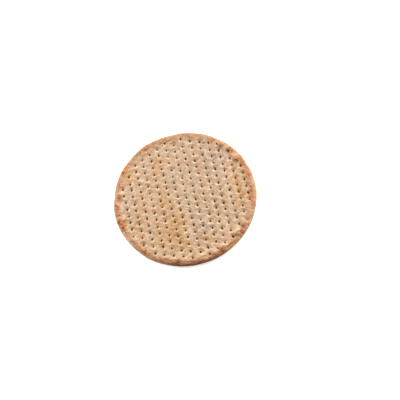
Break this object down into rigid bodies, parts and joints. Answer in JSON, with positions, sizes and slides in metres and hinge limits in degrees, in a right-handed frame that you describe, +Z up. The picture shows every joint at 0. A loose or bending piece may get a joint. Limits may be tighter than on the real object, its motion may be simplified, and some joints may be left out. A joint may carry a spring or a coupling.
{
  "type": "pizza crust",
  "caption": "Round, flat, par-baked pizza crust of thin wheat dough, docked all over with staggered blind holes, with a low browned rim.",
  "frame": {"origin": "centre of the flat underside, on the surface that the crust rests on", "axes": "+Z up, out of the docked top; the columns of docking holes run along Y"},
  "size_m": [0.3048, 0.303, 0.0111],
  "materials": {
    "dough": "matt, dry baked dough: pale tan field, browned rim"
  },
  "bodies": {
    "root": {"crust": "dough"}
  },
  "joints": []
}
